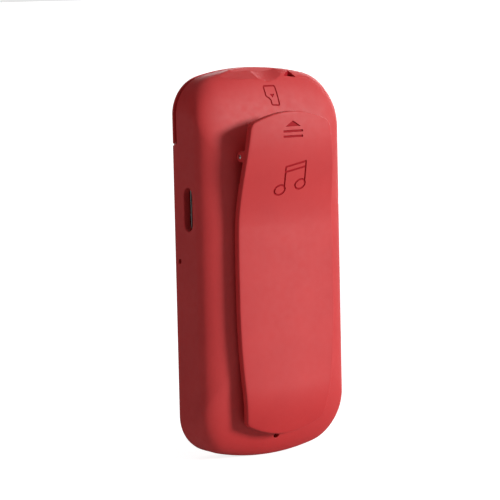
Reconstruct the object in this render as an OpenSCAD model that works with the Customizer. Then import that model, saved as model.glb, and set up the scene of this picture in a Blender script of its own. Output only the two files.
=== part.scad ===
// Clip-on digital audio player: rounded plastic case, sprung belt clip, screen, five keys and the parts inside.
// Millimetres. +X is the right-hand side seen from the screen, -Y the screen side, +Z the top.
// Depths called y are measured from the front face of the case towards the clip.

/* [Case] */
// Width of the case
case_w = 33; // [32:0.1:34]
// Height of the case
case_h = 76; // [75:0.1:78]
// Depth of the case without the clip
case_d = 13.2; // [13:0.1:14]
// Thickness of the case walls
wall = 1.4; // [1.2:0.1:1.5]
// Radius of the corners in front view
corner_r = 7.6; // [6.5:0.1:8]
// Rise of the arched top and bottom ends
end_crown = 3.17; // [2.5:0.05:3.5]
// Depth over which the back rounds off
back_round_d = 7.84; // [7:0.1:8]
// How far the corner radius draws in at the back
back_draw_r = 4.08; // [3.5:0.1:4.5]
// How far the sides draw in at the back
side_draw = 8; // [7:0.1:9]
// Depth over which the sides round off
side_round_d = 5; // [4.5:0.1:5.5]
// How late the sides start to draw in
side_power = 2.5; // [2:0.1:3]
// How far the ends draw in at the back
back_draw_z = 22; // [20:0.5:23]

/* [Clip] */
// Height of the clip hinge above the base
hinge_z = 59.5; // [59:0.1:60]
// Depth of the clip hinge
hinge_y = 14.2; // [14.1:0.05:14.3]
// Radius of the hinge pin
pin_r = 0.5; // [0.4:0.05:0.55]
// Running clearance of the pin in the case lugs
pin_gap = 0.04; // [0.02:0.01:0.08]
// Half width of the clip at its widest
clip_half_w = 10.97; // [10.5:0.1:11.2]
// Thickness of the clip at its long edges
clip_edge_t = 1.4; // [1.2:0.05:1.5]

/* [Controls and ports] */
// Height of the middle of the key pad
pad_z = 30; // [28:0.5:32]
// Radius of the round key pad
pad_r = 10.6; // [9.5:0.1:11]
// Radius of the middle key
play_r = 4.3; // [3.8:0.1:4.6]
// How far the keys stand out of the front
key_proud = 0.35; // [0.2:0.05:0.4]
// Radius of the hole for a 3.5 mm plug
jack_r = 1.8; // [1.78:0.01:1.85]
// Height of the headphone jack above the base
jack_z = 49.4; // [49:0.1:50]
// Height of the USB port above the base
usb_z = 49.4; // [49:0.1:50]

/* [Hidden] */

coral = "#cc4b4b";
dark = "#1c1c20";
steel = "#b9bcc0";

// Clip outline and profile: depth of the arm's long edges, rise of the finger tab, bow across the face
clip_z0 = 5.15;
clip_z1 = 67.9;
clip_mid_z = 34;
clip_arm_y = 14.85;
clip_rise = 2.4;
clip_crown = 0.8;

// Depth of the middle of the whole object, from the key faces to the top of the clip
y_mid = (clip_arm_y + clip_rise + clip_crown - key_proud) / 2;

// Rounding of the front edge
front_round_d = 1.2;
front_draw_x = 2.2;
front_draw_z = 1.2;

// Front plates: one opening in the case, filled by the bezel above the seam and the key plate below
plate_t = 1.2;
plate_a = case_w / 2 - front_draw_x - 0.4;
plate_b = case_h / 2 - front_draw_z - 0.5;
plate_r = corner_r - front_draw_x;
seam_z = 51;
seam_gap = 0.12;
// The bezel wraps over the top edge above this height, with a shadow groove behind it
wrap_z = 61.9;
wrap_gap = 0.4;
wrap_d = 1.35;
groove_d = 2.3;
groove_in = 1;

// Screen stack, as depths
lens_w = 24.4;
lens_h = 14.4;
lens_z = 60.2;
lens_t = 0.85;
lens_ledge = 0.9;
panel_y = 1.6;
panel_t = 1.4;
panel_w = 26.7;
panel_h = 19.2;

// Circuit board
board_y = 3.6;
board_t = 0.8;
board_back = board_y + board_t;
board_a = 13.7;
board_z0 = 4.5;
board_z1 = 71.5;

// Keys
key_gap = 0.4;
key_travel = 0.3;
key_back = 1.65;
key_post_y = 2.85;
ring_mid_r = (play_r + key_gap + pad_r) / 2;

// Battery
battery_w = 23;
battery_z0 = 13;
battery_z1 = 43;
battery_y = 6;
battery_t = 4.2;

facets = 48;

// ---- outlines -------------------------------------------------------------------------------

// Quarter of the case outline: corner arc, then the arched end; a, b are half sizes
function quarter(a, b, r, nc, ne) =
    let (big = (a * a + end_crown * end_crown) / (2 * end_crown),
         cz = b - big,
         rz = cz + sqrt(pow(big - r, 2) - pow(a - r, 2)),
         turn = atan2(rz - cz, a - r))
    concat([for (i = [0:nc]) [a - r + r * cos(turn * i / nc), rz + r * sin(turn * i / nc)]],
           [for (i = [1:ne]) let (t = turn + (90 - turn) * i / ne) [big * cos(t), cz + big * sin(t)]]);

function upper_half(q) = concat(q, [for (i = [len(q) - 2:-1:0]) [-q[i][0], q[i][1]]]);

// Full outline about the middle of the case, anticlockwise
function outline(a, b, r, nc = 6, ne = 4) =
    let (u = upper_half(quarter(a, b, r, nc, ne)))
    concat(u, [for (p = u) [-p[0], -p[1]]]);

// One loft ring at depth y
function ring(a, b, r, y) = [for (p = outline(a, b, r)) [p[0], y, p[1] + case_h / 2]];

// Rings of the case skin drawn in by `in`, from the front edge to the back face
function front_rings(in) =
    [for (i = [0:3]) let (t = 90 * i / 4, s = cos(t))
        ring(case_w / 2 - in - front_draw_x * (1 - sin(t)), case_h / 2 - in - front_draw_z * (1 - sin(t)),
             corner_r - in - front_draw_z * (1 - sin(t)), front_round_d * (1 - s))];

function back_rings(in) =
    [for (i = [0:10])
        let (t = 9 * i, s = 1 - cos(t),
             low = (back_round_d - in) * (1 - sin(t)),
             k = max(0, 1 - low / (side_round_d - in)))
        ring(case_w / 2 - in - (side_draw - in) * pow(k, side_power),
             case_h / 2 - in - (back_draw_z - in) * s,
             corner_r - in - (back_draw_r - in) * s, case_d - in - low)];

// Solid through a list of rings with equal numbers of points
module loft(rings) {
    n = len(rings[0]);
    m = len(rings);
    points = [for (r = rings) for (p = r) p];
    sides = [for (j = [0:m - 2]) for (i = [0:n - 1])
        [j * n + i, j * n + (i + 1) % n, (j + 1) * n + (i + 1) % n, (j + 1) * n + i]];
    polyhedron(points, concat([[for (i = [n - 1:-1:0]) i]], sides, [[for (i = [0:n - 1]) (m - 1) * n + i]]),
               convexity = 6);
}

// Case skin drawn in by `in`; an inner one runs straight out of the front
module skin(in = 0) {
    start = in == 0 ? front_rings(0) : [ring(case_w / 2 - in, case_h / 2 - in, corner_r - in, front_round_d)];
    loft(concat(start, back_rings(in)));
}

// Plate in front view with half sizes a, b and corners r, between two depths
module plate(a, b, r, y0, y1) {
    translate([0, y1, case_h / 2]) rotate([90, 0, 0])
        linear_extrude(y1 - y0) polygon(outline(a, b, r, 10, 8));
}

// Box by its centre line in x and z, and its two depths
module slab(w, y0, y1, z0, z1, x = 0) {
    translate([x - w / 2, y0, z0]) cube([w, y1 - y0, z1 - z0]);
}

// Cylinder along +Y between two depths
module peg(x, z, r, y0, y1) {
    translate([x, y0, z]) rotate([-90, 0, 0]) cylinder(h = y1 - y0, r = r, $fn = facets);
}

// Cylinder along +X
module bar(x0, x1, y, z, r) {
    translate([x0, y, z]) rotate([0, 90, 0]) cylinder(h = x1 - x0, r = r, $fn = facets);
}

// Rounded rectangle in front view, between two depths
module pane(w, h, r, z, y0, y1) {
    translate([0, y1, z]) rotate([90, 0, 0]) linear_extrude(y1 - y0) {
        square([w - 2 * r, h], center = true);
        square([w, h - 2 * r], center = true);
        for (sx = [-1, 1], sz = [-1, 1])
            translate([sx * (w / 2 - r), sz * (h / 2 - r)]) circle(r, $fn = facets);
    }
}

// Moves a part from depths to the row frame
module placed() {
    translate([0, -y_mid, 0]) children();
}

// ---- case -----------------------------------------------------------------------------------

slot_w = 11.8;
slot_y0 = 4.3;
slot_y1 = 5.9;
usb_cut_l = 8.36;
usb_cut_w = 3;
usb_y = 5.85;
jack_y = 7.3;
reset_y = 2.5;
reset_z = 39.2;
mic_z = 4.4;
lug_x0 = 6.9;
lug_x1 = 8.75;
lug_r = 1;
eye_x = -6.4;
eye_z = 73.3;
eye_r = 0.5;
boss_x = 10.5;
boss_z = 9;
boss_z_top = 56.2;

// Nail scoop behind the card slot, in a shallow flat; both lie along the slope of the top edge
module nail_scoop() {
    scoop_r = 12;
    scoop_x = -0.75;
    scoop_z = 75.2;
    slope = 29;
    translate([0, slot_y1, scoop_z]) rotate([-90 - slope, 0, 0]) translate([0, 0, -0.9]) {
        translate([scoop_x, -scoop_r, 0]) cylinder(h = 8, r = scoop_r, $fn = 96);
        linear_extrude(8) polygon([[-12, -0.778], [14, 0.184], [14, -6], [-12, -6]]);
    }
}

// Lanyard eyelet: a three-cornered pocket in the top edge and a round hole that meets it
module lanyard_eyelet() {
    translate([eye_x, 0, eye_z]) linear_extrude(4) polygon([[-0.15, 6.75], [-1.1, 8.2], [1.7, 8.2]]);
    peg(eye_x - eye_r, eye_z + eye_r + 0.1, eye_r, 3.4, 7.8);
    translate([eye_x - eye_r, 3.7, eye_z + eye_r + 0.1]) cylinder(h = 3, r = 0.6, $fn = facets);
}

module usb_cut() {
    r = usb_cut_w / 2;
    half = usb_cut_l / 2 - r;
    slab(4, usb_y - r, usb_y + r, usb_z - half, usb_z + half, x = case_w / 2);
    for (s = [-1, 1]) bar(case_w / 2 - 2, case_w / 2 + 1, usb_y, usb_z + s * half, r);
}

module case_solid() {
    difference() {
        skin();
        skin(wall);
        // opening for the front plates
        plate(plate_a + seam_gap, plate_b + seam_gap, plate_r + seam_gap, -1, front_round_d + 0.2);
        // the bezel takes the front of the rim above wrap_z
        slab(case_w + 2, -1, wrap_d + 0.05, wrap_z - wrap_gap, case_h + 1);
        difference() {
            slab(case_w + 2, -1, groove_d, wrap_z, case_h + 1);
            plate(case_w / 2 - groove_in, case_h / 2 - groove_in, corner_r - groove_in, -2, groove_d + 1);
        }
    }
    // block that the lanyard eyelet is cut in
    intersection() {
        skin();
        slab(4.8, 2.4, 8.9, eye_z - 0.45, case_h, x = eye_x + 0.2);
    }
    // lugs that carry the hinge pin
    for (s = [-1, 1]) {
        x0 = s > 0 ? lug_x0 : -lug_x1;
        bar(x0, x0 + lug_x1 - lug_x0, hinge_y, hinge_z, lug_r);
        slab(lug_x1 - lug_x0, case_d - wall, hinge_y, hinge_z - lug_r, hinge_z + lug_r,
             x = x0 + (lug_x1 - lug_x0) / 2);
    }
    // posts that the board is screwed to
    for (s = [-1, 1]) {
        peg(s * boss_x, boss_z_top, 1.5, board_back, case_d - wall + 0.3);
        peg(s * boss_x, boss_z, 1.5, board_back, 9.9);
    }
}

module rear_shell() {
    placed() color(coral) difference() {
        case_solid();
        slab(slot_w, slot_y0, slot_y1, case_h - 5, case_h + 1);
        nail_scoop();
        lanyard_eyelet();
        usb_cut();
        bar(-case_w / 2 - 1, -case_w / 2 + 3, jack_y, jack_z, 2.6);
        bar(case_w / 2 - 3, case_w / 2 + 1, reset_y, reset_z, 0.5);
        peg(0, mic_z, 0.6, 5, case_d);
        bar(-lug_x1 - 1, lug_x1 + 1, hinge_y, hinge_z, pin_r + pin_gap);
        // saddle that clears the spring coil
        bar(-lug_x0, lug_x0, hinge_y, hinge_z, 1.5);
        for (s = [-1, 1]) {
            peg(s * boss_x, boss_z_top, 0.5, board_back - 1, board_back + 3.4);
            peg(s * boss_x, boss_z, 0.5, board_back - 1, board_back + 3.4);
        }
    }
}

// Front plate region cut at the seam: side = 1 keeps the part above, -1 the part below
module front_plate(side) {
    intersection() {
        plate(plate_a, plate_b, plate_r, 0, plate_t);
        slab(case_w, -1, plate_t + 1, side > 0 ? seam_z + seam_gap : 0, side > 0 ? case_h : seam_z);
    }
}

module front_shell() {
    placed() color(coral) {
        difference() {
            front_plate(-1);
            peg(0, pad_z, pad_r + 0.2, -1, plate_t + 1);
        }
        // snap lugs behind the long edges
        for (s = [-1, 1], z = [12, 46])
            slab(0.8, plate_t, plate_t + 1.2, z - 2, z + 2, x = s * (plate_a - 0.6));
    }
}

module screen_bezel() {
    placed() color(coral) difference() {
        union() {
            front_plate(1);
            intersection() {
                loft(concat(front_rings(0), [ring(case_w / 2, case_h / 2, corner_r, front_round_d),
                                             ring(case_w / 2, case_h / 2, corner_r, wrap_d)]));
                slab(case_w + 2, -1, wrap_d, wrap_z, case_h + 1);
            }
        }
        pane(lens_w + 0.1, lens_h + 0.1, 1.5, lens_z, -1, lens_ledge);
        pane(lens_w - 1.8, lens_h - 1.8, 0.8, lens_z, -1, wrap_d + 1);
    }
}

// ---- screen ---------------------------------------------------------------------------------

module screen_lens() {
    placed() color(dark) pane(lens_w, lens_h, 1.45, lens_z, lens_ledge - lens_t, lens_ledge);
}

module lens_gasket() {
    placed() color("#303034") difference() {
        pane(lens_w + 0.6, lens_h + 0.6, 1.2, lens_z, wrap_d, panel_y);
        pane(lens_w - 1.4, lens_h - 1.4, 0.8, lens_z, wrap_d - 1, panel_y + 1);
    }
}

module display_panel() {
    placed() color("#26262c")
        slab(panel_w, panel_y, panel_y + panel_t, lens_z - panel_h / 2, lens_z + panel_h / 2);
}

// Frame that spaces the panel from the board
module display_holder() {
    y0 = panel_y + panel_t;
    placed() color("#e4e4e0") difference() {
        slab(panel_w, y0, board_y, lens_z - panel_h / 2, lens_z + panel_h / 2);
        slab(panel_w - 3, y0 - 1, board_y + 1, lens_z - panel_h / 2 + 1.5, lens_z + panel_h / 2 - 1.5);
    }
}

// Ribbon from the lower edge of the panel down to its pads on the board
module display_flex() {
    z = lens_z - panel_h / 2;
    placed() color("#b46a1e") {
        slab(12, panel_y + 0.9, panel_y + 1.05, z - 1.4, z);
        slab(12, panel_y + 0.9, board_y, z - 1.55, z - 1.4);
        slab(12, board_y - 0.15, board_y, z - 5.5, z - 1.55);
    }
}

// ---- keys -----------------------------------------------------------------------------------

// Quarter ring key whose middle points along `turn`, with a lip behind the front shell and a post
module ring_key(turn) {
    placed() color("#d65c58") {
        translate([0, 0, pad_z]) rotate([0, turn, 0]) translate([0, 0, -pad_z]) {
            difference() {
                union() {
                    peg(0, pad_z, pad_r, -key_proud, plate_t + 0.05);
                    peg(0, pad_z, pad_r + 0.8, plate_t + 0.05, key_back);
                }
                peg(0, pad_z, play_r + key_gap, -1, 3);
                // keep only the quarter around +Z
                for (s = [-1, 1])
                    translate([0, 0, pad_z]) rotate([0, s * 45, 0])
                        translate([s > 0 ? -key_gap / 2 : key_gap / 2 - 20, -1, -20]) cube([20, 5, 40]);
            }
            peg(0, pad_z + ring_mid_r, 0.8, key_back, key_post_y);
        }
    }
}

module volume_up_button() { ring_key(0); }
module next_button() { ring_key(90); }
module volume_down_button() { ring_key(180); }
module previous_button() { ring_key(-90); }

module play_button() {
    placed() color("#e8e6e2") {
        peg(0, pad_z, play_r, -key_proud, 2.05);
        peg(0, pad_z, play_r + 0.9, 2.05, 2.45);
        peg(0, pad_z, 0.8, 2.45, key_post_y);
    }
}

// Sheet with five snap domes on the front of the board
module dome_sheet() {
    placed() color("#cfd3d6") {
        peg(0, pad_z, pad_r + 0.4, board_y - 0.1, board_y);
        for (p = [[0, 0], [ring_mid_r, 0], [-ring_mid_r, 0], [0, ring_mid_r], [0, -ring_mid_r]])
            peg(p[0], pad_z + p[1], 2, board_y - 0.35, board_y - 0.1);
    }
}

// ---- board ----------------------------------------------------------------------------------

module main_board() {
    placed() color("#1f6b45") difference() {
        intersection() {
            plate(board_a, case_h / 2 - 3, 5.5, board_y, board_back);
            slab(case_w, 0, case_d, board_z0, board_z1);
        }
        for (s = [-1, 1], z = [boss_z, boss_z_top]) peg(s * boss_x, z, 0.8, 0, case_d);
    }
}

module chip(w, h, t, x, z) {
    placed() color("#232326") slab(w, board_back, board_back + t, z - h / 2, z + h / 2, x = x);
}

module processor_chip() { chip(8, 8, 0.9, 0, 36); }
module memory_chip() { chip(12, 9.5, 1, 0, 22.5); }
module radio_chip() { chip(4, 4, 0.8, 8.2, 36); }

// Crystal, coils and rows of capacitors, as separate small solids
module board_components() {
    placed() color("#c9a56a") {
        slab(3.2, board_back, board_back + 0.8, 29.6, 31.1, x = 7.5);
        slab(3, board_back, board_back + 1.1, 40.2, 43.2, x = 8);
        for (i = [0:5]) slab(0.6, board_back, board_back + 0.5, 43, 44.1, x = -8 + 1.5 * i);
        for (i = [0:4]) slab(1.1, board_back, board_back + 0.5, 29 + 1.3 * i, 29.6 + 1.3 * i, x = -7);
        for (i = [0:3]) slab(0.6, board_back, board_back + 0.5, 15.2, 16.3, x = -3 + 1.5 * i);
    }
}

module usb_socket() {
    depth = 5.4;
    x1 = case_w / 2 - wall - 0.05;
    placed() color(steel) {
        difference() {
            slab(depth, usb_y - 1.3, usb_y + 1.3, usb_z - 3.8, usb_z + 3.8, x = x1 - depth / 2);
            slab(depth, usb_y - 1.05, usb_y + 1.05, usb_z - 3.5, usb_z + 3.5, x = x1 - depth / 2 + 0.6);
        }
        // contact tongue
        slab(depth - 1.4, usb_y - 0.3, usb_y + 0.3, usb_z - 2.2, usb_z + 2.2, x = x1 - depth / 2 - 0.3);
        slab(3.4, board_back, usb_y - 1.3, usb_z - 3.4, usb_z + 3.4, x = x1 - depth / 2 - 1);
    }
}

jack_mouth = -case_w / 2 + 0.9;
jack_end = -0.4;

module headphone_jack() {
    placed() color(dark) difference() {
        union() {
            bar(jack_mouth, jack_mouth + 2, jack_y, jack_z, 2.5);
            slab(-jack_mouth - 1.6 + jack_end, board_back, jack_y + 2.8, jack_z - 2.9, jack_z + 2.9,
                 x = (jack_mouth + 1.6 + jack_end) / 2);
        }
        bar(jack_mouth - 1, jack_end - 1.2, jack_y, jack_z, jack_r);
    }
}

module card_socket() {
    z0 = 59;
    z1 = 72.8;
    placed() color(steel) difference() {
        slab(13.6, board_back, slot_y1 + 0.1, z0, z1);
        slab(11.2, board_back + 0.25, slot_y1 - 0.15, z0 + 1.2, z1 + 1);
    }
}

module reset_switch() {
    placed() color(dark) {
        slab(3, 1.7, board_y, reset_z - 2, reset_z + 2, x = 12.7);
        bar(14, 14.8, reset_y, reset_z, 0.6);
    }
}

// Capsule behind the hole at the foot of the back, on two legs
module microphone() {
    capsule_z = 5.3;
    placed() color(steel) {
        peg(0, capsule_z, 1.9, 6.2, 8);
        for (s = [-1, 1]) peg(s * 0.9, capsule_z + 0.4, 0.2, board_back, 6.2);
    }
}

module board_screws() {
    placed() color(steel) for (s = [-1, 1], z = [boss_z, boss_z_top]) difference() {
        union() {
            peg(s * boss_x, z, 1.25, board_y - 0.6, board_y);
            peg(s * boss_x, z, 0.5, board_y, board_back + 3);
        }
        slab(1.6, board_y - 1, board_y - 0.35, z - 0.15, z + 0.15, x = s * boss_x);
        slab(0.3, board_y - 1, board_y - 0.35, z - 0.8, z + 0.8, x = s * boss_x);
    }
}

// ---- power ----------------------------------------------------------------------------------

module battery() {
    placed() color("#c8cdd4") pane(battery_w, battery_z1 - battery_z0, 1.2, (battery_z0 + battery_z1) / 2,
                                   battery_y, battery_y + battery_t);
}

module battery_tape() {
    placed() color("#d9b23a") slab(battery_w - 6, battery_y - 0.3, battery_y, battery_z0 + 2, battery_z0 + 4.5);
}

// Two short leads from the top of the cell down to the board
module battery_leads() {
    placed() for (s = [-1, 1]) color(s > 0 ? "#b02020" : dark) {
        x = 3.5 + s * 0.8;
        peg(x, battery_z1 + 1.2, 0.35, board_back, battery_y + 2);
        translate([x, battery_y + 1.65, battery_z1]) cylinder(h = 1.2, r = 0.35, $fn = facets);
    }
}

// ---- clip -----------------------------------------------------------------------------------

// Half width of the clip at height z
function clip_w(z) =
    z > clip_mid_z ? clip_half_w - 1.9 * pow((z - clip_mid_z) / 31, 3)
                   : clip_half_w - 1.7 * pow((clip_mid_z - z) / 24, 2.4);

// Smooth step from 0 to 1 between a and b
function ease(z, a, b) = let (u = min(1, max(0, (z - a) / (b - a)))) u * u * (3 - 2 * u);

// Depth of the clip's long edges: flat arm, raised finger tab, tip bent to the case
function clip_y(z) =
    clip_arm_y + clip_rise * ease(z, 45.5, 63.5)
    - 2.6 * pow(max(0, 15 - z) / 10, 2) - 0.25 * pow(max(0, z - 63.5) / 4.4, 2);

// Point of the clip: s from -1 to 1 across, v from 0 to 1 up, face 1 for the outside, 0 for the inside
function clip_point(s, v, face) =
    let (za = clip_z0 + 2.4 * s * s, zb = clip_z1 - 2.2 * s * s, z = za + (zb - za) * v,
         bow = (1 - s * s) * (face > 0 ? clip_crown : clip_crown - 0.25))
    [s * clip_w(z), clip_y(z) + bow - (1 - face) * clip_edge_t, z];

module clip_plate() {
    nx = 12;
    nz = 42;
    n = (nx + 1) * (nz + 1);
    points = [for (f = [1, 0]) for (j = [0:nz]) for (i = [0:nx]) clip_point(2 * i / nx - 1, j / nz, f)];
    function at(i, j) = j * (nx + 1) + i;
    outer = [for (j = [0:nz - 1]) for (i = [0:nx - 1]) each
        [[at(i, j), at(i, j + 1), at(i + 1, j + 1)], [at(i, j), at(i + 1, j + 1), at(i + 1, j)]]];
    inner = [for (t = outer) [t[0] + n, t[2] + n, t[1] + n]];
    low = [for (i = [0:nx - 1]) each
        [[at(i, 0), at(i + 1, 0), n + at(i + 1, 0)], [at(i, 0), n + at(i + 1, 0), n + at(i, 0)]]];
    high = [for (i = [0:nx - 1]) each
        [[at(i + 1, nz), at(i, nz), n + at(i, nz)], [at(i + 1, nz), n + at(i, nz), n + at(i + 1, nz)]]];
    left = [for (j = [0:nz - 1]) each
        [[at(0, j + 1), at(0, j), n + at(0, j)], [at(0, j + 1), n + at(0, j), n + at(0, j + 1)]]];
    right = [for (j = [0:nz - 1]) each
        [[at(nx, j), at(nx, j + 1), n + at(nx, j + 1)], [at(nx, j), n + at(nx, j + 1), n + at(nx, j)]]];
    polyhedron(points, [for (t = concat(outer, inner, low, high, left, right)) [t[0], t[2], t[1]]],
               convexity = 4);
}

ear_x0 = 8.95;
ear_x1 = 9.85;

module belt_clip() {
    placed() color(coral) difference() {
        union() {
            clip_plate();
            for (s = [-1, 1]) {
                x0 = s > 0 ? ear_x0 : -ear_x1;
                bar(x0, x0 + ear_x1 - ear_x0, hinge_y, hinge_z, lug_r);
                slab(ear_x1 - ear_x0, hinge_y, 15.9, hinge_z - lug_r, hinge_z + lug_r,
                     x = x0 + (ear_x1 - ear_x0) / 2);
            }
            // gripping ridges under the tip
            for (z = [9, 11, 13]) slab(12, 12.75, 14, z - 0.4, z + 0.4);
        }
        bar(-case_w, case_w, hinge_y, hinge_z, pin_r);
    }
}

module hinge_pin() {
    placed() color(steel) bar(-ear_x1, ear_x1, hinge_y, hinge_z, pin_r);
}

// Torsion spring round the pin: coil, one leg on the case and one under the finger tab
module clip_spring() {
    wire_r = 0.22;
    coil_r = 1.16;
    coil_x = 3.2;
    placed() color(steel) {
        difference() {
            bar(-coil_x, coil_x, hinge_y, hinge_z, coil_r);
            bar(-coil_x - 1, coil_x + 1, hinge_y, hinge_z, coil_r - 2 * wire_r);
        }
        translate([-coil_x + wire_r, hinge_y - coil_r + wire_r, hinge_z]) rotate([8, 0, 0])
            cylinder(h = 5, r = wire_r, $fn = 24);
        translate([coil_x - wire_r, hinge_y + coil_r - wire_r, hinge_z]) rotate([-10.5, 0, 0])
            cylinder(h = 5, r = wire_r, $fn = 24);
    }
}

rear_shell();
front_shell();
screen_bezel();
screen_lens();
lens_gasket();
display_panel();
display_holder();
display_flex();
main_board();
dome_sheet();
play_button();
volume_up_button();
volume_down_button();
next_button();
previous_button();
processor_chip();
memory_chip();
radio_chip();
board_components();
usb_socket();
headphone_jack();
card_socket();
reset_switch();
microphone();
battery();
battery_tape();
battery_leads();
board_screws();
belt_clip();
hinge_pin();
clip_spring();
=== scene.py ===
import math

import bmesh
import bpy
from mathutils import Matrix, Vector

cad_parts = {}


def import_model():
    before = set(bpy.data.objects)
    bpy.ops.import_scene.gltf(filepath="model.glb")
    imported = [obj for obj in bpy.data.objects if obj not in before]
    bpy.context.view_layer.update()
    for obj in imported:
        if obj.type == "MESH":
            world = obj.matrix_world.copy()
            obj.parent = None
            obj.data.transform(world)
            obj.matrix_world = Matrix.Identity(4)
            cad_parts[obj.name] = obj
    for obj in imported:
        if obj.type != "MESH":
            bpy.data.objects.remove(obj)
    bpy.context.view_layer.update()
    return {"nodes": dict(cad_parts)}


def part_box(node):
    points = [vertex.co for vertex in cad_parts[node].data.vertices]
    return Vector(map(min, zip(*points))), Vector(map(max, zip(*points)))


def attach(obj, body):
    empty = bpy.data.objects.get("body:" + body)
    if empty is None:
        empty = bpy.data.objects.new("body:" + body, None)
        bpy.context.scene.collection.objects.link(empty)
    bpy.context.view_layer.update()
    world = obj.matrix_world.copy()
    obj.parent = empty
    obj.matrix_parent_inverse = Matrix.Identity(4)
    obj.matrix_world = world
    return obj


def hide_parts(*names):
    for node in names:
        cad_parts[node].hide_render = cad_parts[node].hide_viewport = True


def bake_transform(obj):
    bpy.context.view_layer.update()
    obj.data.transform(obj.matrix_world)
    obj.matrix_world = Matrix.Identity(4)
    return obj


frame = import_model()

# Sizes are millimetres. A point is (x, depth from the case's front face, height above the base),
# and place() turns it into metres in the shared frame.
MM = 0.001
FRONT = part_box("rear_shell")[0][1]
CASE_LOW, CASE_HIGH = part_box("rear_shell")

# Case outline and section
CASE_A = (CASE_HIGH[0] - CASE_LOW[0]) / MM / 2
CASE_B = (CASE_HIGH[2] - CASE_LOW[2]) / MM / 2
CASE_D = 13.2
CORNER_R = 7.6
END_CROWN = 3.17
WALL = 1.4
BACK_DRAW_R, BACK_DRAW_Z, BACK_ROUND_D = 4.08, 22.0, 7.84
SIDE_DRAW, SIDE_ROUND_D, SIDE_POWER = 8.0, 5.0, 2.5
FRONT_DRAW_X, FRONT_DRAW_Z, FRONT_ROUND_D = 2.2, 1.2, 1.2

# Front plates and the shadow groove behind the bezel
PLATE_A, PLATE_B, PLATE_R, PLATE_T = 13.9, 36.3, 5.4, 1.2
SEAM_Z, SEAM_GAP = 51.0, 0.12
WRAP_Z, WRAP_GAP, WRAP_D = 61.9, 0.4, 1.35
GROOVE_D, GROOVE_IN = 2.3, 1.0

# Screen and keys
LENS_W, LENS_H, LENS_R, LENS_Z = 24.4, 14.4, 1.45, 60.2
PAD_Z, PAD_R, PLAY_R, KEY_GAP, KEY_PROUD = 30.0, 10.6, 4.3, 0.4, 0.35
KEY_MID = (PLAY_R + KEY_GAP + PAD_R) / 2

# Openings
SLOT_W, SLOT_Y0, SLOT_Y1 = 11.8, 4.3, 5.9
SCOOP_X, SCOOP_Z, SCOOP_R, SCOOP_TILT, SCOOP_ENDS = -0.75, 75.2, 12.0, 29, (-0.9, 7.1)
USB_L, USB_W, USB_Y, USB_Z = 8.36, 3.0, 5.85, 49.4
USB_MOUTH = CASE_A - WALL - 0.05
JACK_Y, JACK_Z, JACK_R, JACK_WELL_R = 7.3, 49.4, 1.8, 2.6
JACK_MOUTH, JACK_COLLAR_R = -CASE_A + 0.9, 2.5
RESET_Y, RESET_Z, RESET_R = 2.5, 39.2, 0.5
MIC_Z, MIC_R = 4.4, 0.6
EYE_X, EYE_Z, EYE_R = -6.4, 73.3, 0.5

# Hinge and clip
HINGE_Y, HINGE_Z, PIN_R, SADDLE_R = 14.2, 59.5, 0.5, 1.5
HINGE = (0, HINGE_Y, HINGE_Z)
LUG_X0, LUG_X1, LUG_R, LUG_ROOT_Y = 6.9, 8.75, 1.0, CASE_D - 1.3
EAR_X0, EAR_X1, EAR_ROOT_Y = 8.95, 9.85, 15.9
CLIP_HALF_W, CLIP_MID_Z, CLIP_T = 10.97, 34.0, 1.4
CLIP_Z0, CLIP_Z1, CLIP_ARCH_0, CLIP_ARCH_1 = 5.15, 67.9, 2.4, 2.2
CLIP_CROWN, CLIP_INNER_CROWN = 0.8, 0.55
CLIP_RIM, CLIP_INNER_RIM, CLIP_CORNER = 0.22, 0.2, 0.9
CLIP_TAPER_UP, CLIP_TAPER_DOWN = (1.9, 31, 3), (1.7, 24, 2.4)   # lost half width, over what height, power
ARM_Y = 14.85
TAB_RISE, TAB_Z0, TAB_Z1 = 2.4, 45.5, 63.5
TIP_DROP, TIP_Z, TIP_REACH = 2.6, 15, 10
NOSE_DROP, NOSE_REACH = 0.25, 4.4
WIRE_R, COIL_R, COIL_X, COIL_TURNS = 0.22, 1.16, 3.2, 12.5
LEG_TILT_CASE, LEG_TILT_CLIP = math.radians(8), math.radians(10.5)


# ---- mesh tools ------------------------------------------------------------------------------

def place(p):
    return (p[0] * MM, FRONT + p[1] * MM, p[2] * MM)


PLAIN = bpy.data.materials.new("plain")     # every new mesh starts with it
# Placeholder for painted shade: faces cut by cutters with this material later get a darker coral with a faint
# red glow.
SHADE_MARK = bpy.data.materials.new("shade_mark")         # cutters with it leave the recess finish


def make(name, points, faces):
    """New object from points in millimetres, with all faces turned outward."""
    mesh = bpy.data.meshes.new(name)
    mesh.materials.append(PLAIN)
    mesh.from_pydata([place(p) for p in points], [], faces)
    bm = bmesh.new()
    bm.from_mesh(mesh)
    bmesh.ops.remove_doubles(bm, verts=bm.verts, dist=1e-7)
    bm.normal_update()
    bmesh.ops.triangulate(bm, faces=[f for f in bm.faces if bent(f)])
    bmesh.ops.recalc_face_normals(bm, faces=bm.faces)
    bm.to_mesh(mesh)
    bm.free()
    obj = bpy.data.objects.new(name, mesh)
    bpy.context.scene.collection.objects.link(obj)
    return obj


def bent(face):
    """Whether a face's corners leave its plane."""
    centre = face.calc_center_median()
    return max(abs(face.normal.dot(v.co - centre)) for v in face.verts) > 1e-7


def loft(name, rings, wrap=False):
    """Solid through closed rings with equal numbers of points; wrap joins the last ring to the first."""
    n, m = len(rings[0]), len(rings)
    points = [p for r in rings for p in r]
    faces = [(j * n + i, j * n + (i + 1) % n, (j + 1) % m * n + (i + 1) % n, (j + 1) % m * n + i)
             for j in range(m if wrap else m - 1) for i in range(n)]
    if not wrap:
        faces += [tuple(range(n))[::-1], tuple((m - 1) * n + i for i in range(n))]
    return make(name, points, faces)


def bake(obj):
    """Applies the object's modifiers."""
    mesh = bpy.data.meshes.new_from_object(obj.evaluated_get(bpy.context.evaluated_depsgraph_get()))
    obj.modifiers.clear()
    obj.data = mesh
    return obj


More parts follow.
